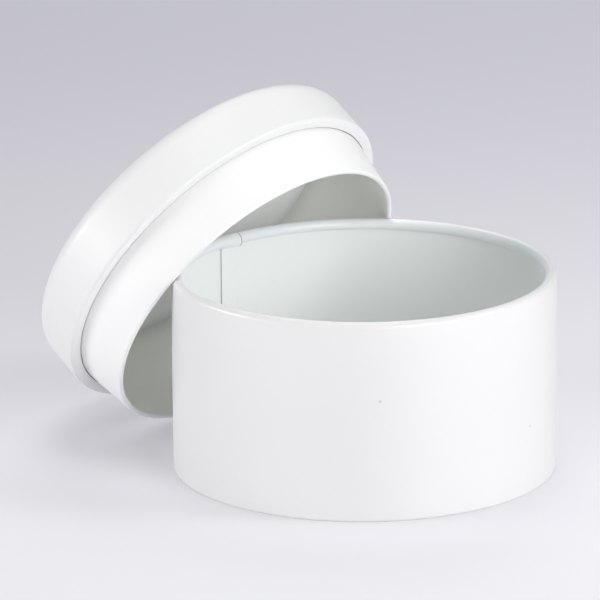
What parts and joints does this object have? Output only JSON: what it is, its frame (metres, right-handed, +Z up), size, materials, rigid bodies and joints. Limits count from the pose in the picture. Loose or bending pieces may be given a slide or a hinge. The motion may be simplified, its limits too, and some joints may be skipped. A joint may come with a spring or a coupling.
{
  "type": "round tin box with plug lid",
  "caption": "Open round lacquered tin with a rolled rim and side seam; its plug lid with rounded corner and curled collar leans on floor and rim.",
  "frame": {"origin": "centre of the box's foot ring, on the surface it stands on", "axes": "+Z up along the box's axis; +X to the right and +Y away from the viewer in the front view; the lid leans on the left and back"},
  "size_m": [0.1749, 0.1741, 0.1228],
  "materials": {
    "wall_lacquer": "gloss",
    "bottom_lacquer": "satin",
    "cap_lacquer": "gloss",
    "skirt_lacquer": "gloss",
    "collar_lacquer": "gloss"
  },
  "bodies": {
    "box": {"box_wall": "wall_lacquer", "box_bottom": "bottom_lacquer"},
    "lid": {"cap_top": "cap_lacquer", "cap_skirt": "skirt_lacquer", "lid_collar": "collar_lacquer"}
  },
  "joints": [
    {"name": "lid_lift", "type": "slide", "parent": "box", "child": "lid", "axis": [0, 0, 1], "range_m": [0, 0.085]}
  ]
}
